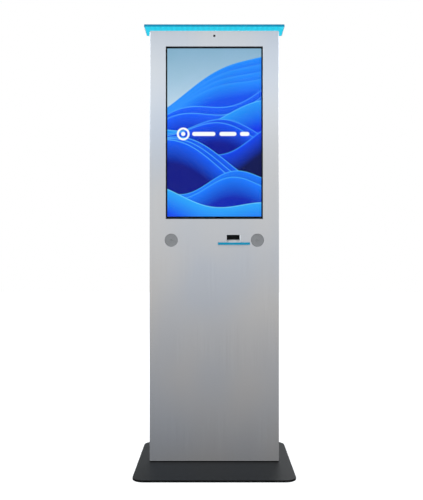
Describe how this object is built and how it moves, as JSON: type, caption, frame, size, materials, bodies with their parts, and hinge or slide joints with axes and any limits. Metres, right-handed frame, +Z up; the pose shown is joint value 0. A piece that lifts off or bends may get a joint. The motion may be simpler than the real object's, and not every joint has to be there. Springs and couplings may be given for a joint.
{
  "type": "touchscreen kiosk",
  "caption": "Slim free-standing kiosk pillar on a flat base plate, with a portrait touch display, camera, speakers, ticket printer, lit canopy and a hinged rear door.",
  "frame": {"origin": "on the floor, under the middle of the base plate", "axes": "+Z up; the front with the screen faces -Y; +X is to the right of a person who stands in front"},
  "size_m": [0.636, 0.518, 1.814],
  "materials": {
    "black_powder_coat": "fine texture, semi-gloss",
    "brushed_silver_panel": "brushed, satin lacquer",
    "silver_powder_coat": "satin",
    "zinc_plated_steel": "zinc plated",
    "plated_fasteners": "bright zinc",
    "cyan_paint": "gloss",
    "cyan_acrylic": "translucent",
    "circuit_board": "solder mask",
    "touch_glass": "polished",
    "black_foam": "closed-cell foam",
    "display_module": "lit panel in a black rim",
    "black_plastic": "moulded",
    "lens_glass": "coated",
    "grille_steel": "perforated, satin",
    "pressed_steel": "black, pressed",
    "cone_paper": "pulp",
    "ferrite": "sintered",
    "chute_silver": "silver moulded",
    "thermal_head": "extruded",
    "lever_plastic": "moulded",
    "platen_rubber": "ground rubber on steel",
    "gear_plastic": "acetal",
    "motor_steel": "plated can",
    "ticket_paper": "thermal paper",
    "stainless_hinge": "stainless",
    "lock_metal": "plated die casting",
    "case_aluminium": "black anodised",
    "supply_case": "bare sheet",
    "cable_sheath": "extruded",
    "rocker_plastic": "moulded"
  },
  "bodies": {
    "root": {"base_plate": "black_powder_coat", "foot_channel": "zinc_plated_steel", "foot_bolts": "plated_fasteners", "front_panel": "brushed_silver_panel", "panel_nuts": "plated_fasteners", "side_panel_left": "silver_powder_coat", "side_panel_right": "silver_powder_coat", "top_panel": "silver_powder_coat", "rear_kick_panel": "silver_powder_coat", "panel_screws": "plated_fasteners", "canopy_shell": "cyan_paint", "canopy_diffuser": "cyan_acrylic", "canopy_led_strip": "circuit_board", "touch_glass": "touch_glass", "glass_gasket": "black_foam", "lcd_module": "display_module", "display_rail_upper": "zinc_plated_steel", "display_rail_lower": "zinc_plated_steel", "mounting_plate": "zinc_plated_steel", "camera_housing": "black_plastic", "camera_lens": "lens_glass", "printer_mouth": "black_plastic", "ticket_chute": "chute_silver", "ticket_tray": "cyan_paint", "printer_frame": "zinc_plated_steel", "printer_motor": "motor_steel", "door_seal": "black_foam", "hinge_frame_leaves": "stainless_hinge", "hinge_pins": "plated_fasteners", "mini_pc": "case_aluminium", "power_supply": "supply_case", "power_inlet": "black_plastic", "switch_housing": "black_plastic", "network_socket": "black_plastic", "mains_cable": "cable_sheath", "display_cable": "cable_sheath", "speaker_left_grille": "grille_steel", "speaker_left_basket": "pressed_steel", "speaker_left_cone": "cone_paper", "speaker_left_magnet": "ferrite", "speaker_right_grille": "grille_steel", "speaker_right_basket": "pressed_steel", "speaker_right_cone": "cone_paper", "speaker_right_magnet": "ferrite"},
    "rear_door": {"rear_door": "silver_powder_coat", "door_screws": "plated_fasteners", "hinge_door_leaves": "stainless_hinge", "lock_barrels": "lock_metal", "fan_frame": "black_plastic", "fan_guard": "plated_fasteners"},
    "upper_lock": {"lock_upper_cam": "lock_metal"},
    "lower_lock": {"lock_lower_cam": "lock_metal"},
    "fan_rotor": {"fan_rotor": "black_plastic"},
    "head_carrier": {"print_head": "thermal_head", "release_lever": "lever_plastic"},
    "platen": {"platen_roller": "platen_rubber", "platen_gear": "gear_plastic"},
    "motor_gear": {"motor_gear": "gear_plastic"},
    "paper_roll": {"paper_roll": "ticket_paper"},
    "switch_rocker": {"switch_rocker": "rocker_plastic"}
  },
  "joints": [
    {"name": "door_hinge", "type": "hinge", "parent": "root", "child": "rear_door", "pos_m": [-0.2535, 0.0352, 0.964], "axis": [0, 0, 1], "range_deg": [0, 110]},
    {"name": "upper_lock_turn", "type": "hinge", "parent": "rear_door", "child": "upper_lock", "pos_m": [0.222, 0.0295, 1.4596], "axis": [0, -1, 0], "range_deg": [0, 90]},
    {"name": "lower_lock_turn", "type": "hinge", "parent": "rear_door", "child": "lower_lock", "pos_m": [0.222, 0.0295, 0.4684], "axis": [0, -1, 0], "range_deg": [0, 90]},
    {"name": "fan_spin", "type": "hinge", "parent": "rear_door", "child": "fan_rotor", "pos_m": [0, 0.026, 1.685], "axis": [0, 1, 0], "continuous": true},
    {"name": "head_release", "type": "hinge", "parent": "root", "child": "head_carrier", "pos_m": [0.0815, 0.015, 0.9314], "axis": [1, 0, 0], "range_deg": [0, 15]},
    {"name": "platen_spin", "type": "hinge", "parent": "root", "child": "platen", "pos_m": [0.0815, -0.001, 0.9474], "axis": [1, 0, 0], "continuous": true},
    {"name": "motor_spin", "type": "hinge", "parent": "root", "child": "motor_gear", "pos_m": [0.1178, 0.015, 0.95565], "axis": [1, 0, 0], "continuous": true},
    {"name": "roll_spin", "type": "hinge", "parent": "root", "child": "paper_roll", "pos_m": [0.0815, 0.003, 0.8904], "axis": [1, 0, 0], "continuous": true},
    {"name": "mains_switch", "type": "hinge", "parent": "root", "child": "switch_rocker", "pos_m": [-0.125, 0.027, 0.078], "axis": [1, 0, 0], "range_deg": [-18, 0]}
  ],
  "couplings": [
    {"joint": "motor_spin", "follows": "platen_spin", "ratio": -2}
  ]
}
